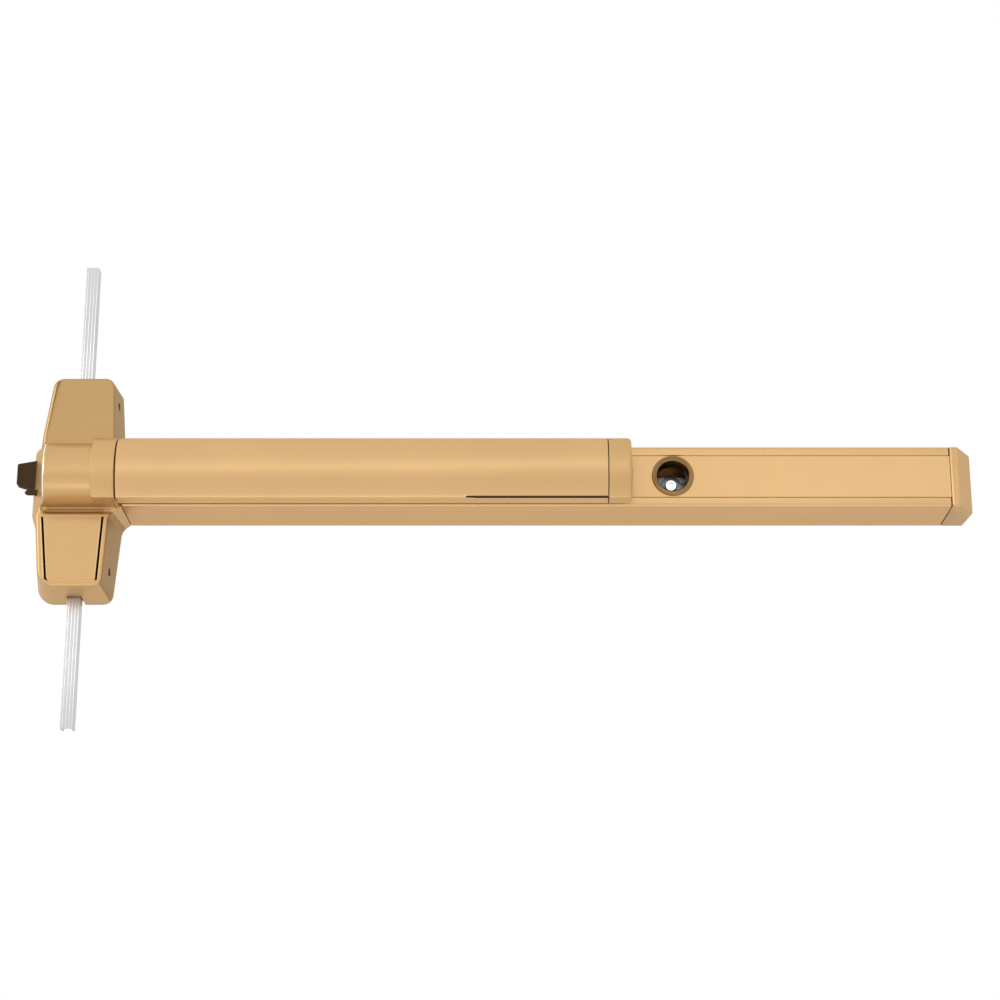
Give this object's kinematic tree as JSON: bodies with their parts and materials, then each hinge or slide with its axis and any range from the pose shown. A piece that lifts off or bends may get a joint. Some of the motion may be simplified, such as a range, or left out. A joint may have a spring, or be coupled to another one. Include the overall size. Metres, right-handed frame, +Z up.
{
  "type": "vertical rod exit device",
  "caption": "Door exit device: a push pad in a channel rail draws two vertical rods and a latch bolt through bell cranks and levers in a cast case.",
  "frame": {"origin": "on the door's face, at the back of the case's chassis plate, where the centre line of the rods crosses the centre line of the rail", "axes": "+X along the rail away from the case, +Y into the door, +Z up"},
  "size_m": [0.8753, 0.097, 0.4469],
  "materials": {
    "cast_bronze": "satin bronze casting, fine brushed grain under clear lacquer",
    "extruded_bronze": "satin bronze anodised extrusion with lengthwise grain",
    "dark_steel": "blackened steel, semi-matt",
    "rod_aluminium": "clear anodised, ribbed lengthwise",
    "zinc_steel": "bright zinc plated sheet and pins",
    "black_nylon": "moulded nylon",
    "bright_nickel": "bright nickel plate"
  },
  "bodies": {
    "root": {"chassis_plate": "zinc_steel", "center_case_cover": "cast_bronze", "cover_screw_upper": "dark_steel", "cover_screw_lower": "dark_steel", "rail": "extruded_bronze", "mechanism_base": "zinc_steel", "crank_pin_left": "zinc_steel", "crank_pin_right": "zinc_steel", "filler_plate": "extruded_bronze", "cylinder_ring": "cast_bronze", "dogging_bracket": "zinc_steel", "end_cap_bracket": "zinc_steel", "end_cap": "cast_bronze", "end_cap_screw": "zinc_steel", "top_lever_pin": "zinc_steel", "bottom_lever_pin": "zinc_steel", "top_rod_guide": "black_nylon", "bottom_rod_guide": "black_nylon", "latch_guide": "zinc_steel", "deadlatch_saddle": "black_nylon"},
    "pad": {"push_pad": "extruded_bronze", "pad_end_cap": "cast_bronze", "pad_bracket_left": "zinc_steel", "pad_bracket_right": "zinc_steel", "pad_pin_left": "zinc_steel", "pad_pin_right": "zinc_steel"},
    "crank_left": {"bell_crank_left": "zinc_steel"},
    "crank_right": {"bell_crank_right": "zinc_steel"},
    "link": {"actuator_link": "zinc_steel", "retractor": "zinc_steel", "link_rivet": "zinc_steel", "link_pin_left": "zinc_steel", "link_pin_right": "zinc_steel"},
    "top_lever": {"top_rod_lever": "zinc_steel"},
    "bottom_lever": {"bottom_rod_lever": "zinc_steel"},
    "upper_rod": {"top_rod": "rod_aluminium", "top_rod_connector": "zinc_steel", "top_rod_pin": "zinc_steel"},
    "lower_rod": {"bottom_rod": "rod_aluminium", "bottom_rod_connector": "zinc_steel", "bottom_rod_pin": "zinc_steel"},
    "latch": {"latch_bolt": "dark_steel"},
    "deadlatch_body": {"deadlatch": "dark_steel"},
    "dogging": {"dogging_cam": "bright_nickel"}
  },
  "joints": [
    {"name": "pad_slide", "type": "slide", "parent": "root", "child": "pad", "axis": [0, 1, 0], "range_m": [0, 0.018], "stiffness_N_per_m": 300, "springref_m": -0.02},
    {"name": "crank_left_turn", "type": "hinge", "parent": "root", "child": "crank_left", "pos_m": [0.12, -0.04, 0], "axis": [0, 0, -1], "range_deg": [0, 27.45]},
    {"name": "crank_right_turn", "type": "hinge", "parent": "root", "child": "crank_right", "pos_m": [0.44, -0.04, 0], "axis": [0, 0, -1], "range_deg": [0, 27.45]},
    {"name": "link_slide", "type": "slide", "parent": "root", "child": "link", "axis": [1, 0, 0], "range_m": [0, 0.01422]},
    {"name": "top_lever_turn", "type": "hinge", "parent": "root", "child": "top_lever", "pos_m": [0.02, -0.0125, 0.026], "axis": [0, -1, 0], "range_deg": [0, 41.67]},
    {"name": "bottom_lever_turn", "type": "hinge", "parent": "root", "child": "bottom_lever", "pos_m": [0.02, -0.0125, -0.026], "axis": [0, 1, 0], "range_deg": [0, 41.67]},
    {"name": "top_rod_slide", "type": "slide", "parent": "root", "child": "upper_rod", "axis": [0, 0, -1], "range_m": [0, 0.01422]},
    {"name": "bottom_rod_slide", "type": "slide", "parent": "root", "child": "lower_rod", "axis": [0, 0, 1], "range_m": [0, 0.01422]},
    {"name": "latch_slide", "type": "slide", "parent": "root", "child": "latch", "axis": [1, 0, 0], "range_m": [0, 0.01422]},
    {"name": "deadlatch_slide", "type": "slide", "parent": "root", "child": "deadlatch_body", "axis": [1, 0, 0], "range_m": [0, 0.006], "stiffness_N_per_m": 80, "springref_m": -0.01},
    {"name": "dogging_turn", "type": "hinge", "parent": "root", "child": "dogging", "pos_m": [0.546, -0.03, -0.0009], "axis": [0, 1, 0], "range_deg": [0, 90]}
  ],
  "couplings": [
    {"joint": "crank_left_turn", "follows": "pad_slide", "rad_per_m": 26.568},
    {"joint": "crank_right_turn", "follows": "pad_slide", "rad_per_m": 26.568},
    {"joint": "link_slide", "follows": "pad_slide", "ratio": 0.78947},
    {"joint": "top_lever_turn", "follows": "pad_slide", "rad_per_m": 40.355},
    {"joint": "bottom_lever_turn", "follows": "pad_slide", "rad_per_m": 40.355},
    {"joint": "top_rod_slide", "follows": "pad_slide", "ratio": 0.78947},
    {"joint": "bottom_rod_slide", "follows": "pad_slide", "ratio": 0.78947},
    {"joint": "latch_slide", "follows": "pad_slide", "ratio": 0.78947}
  ]
}
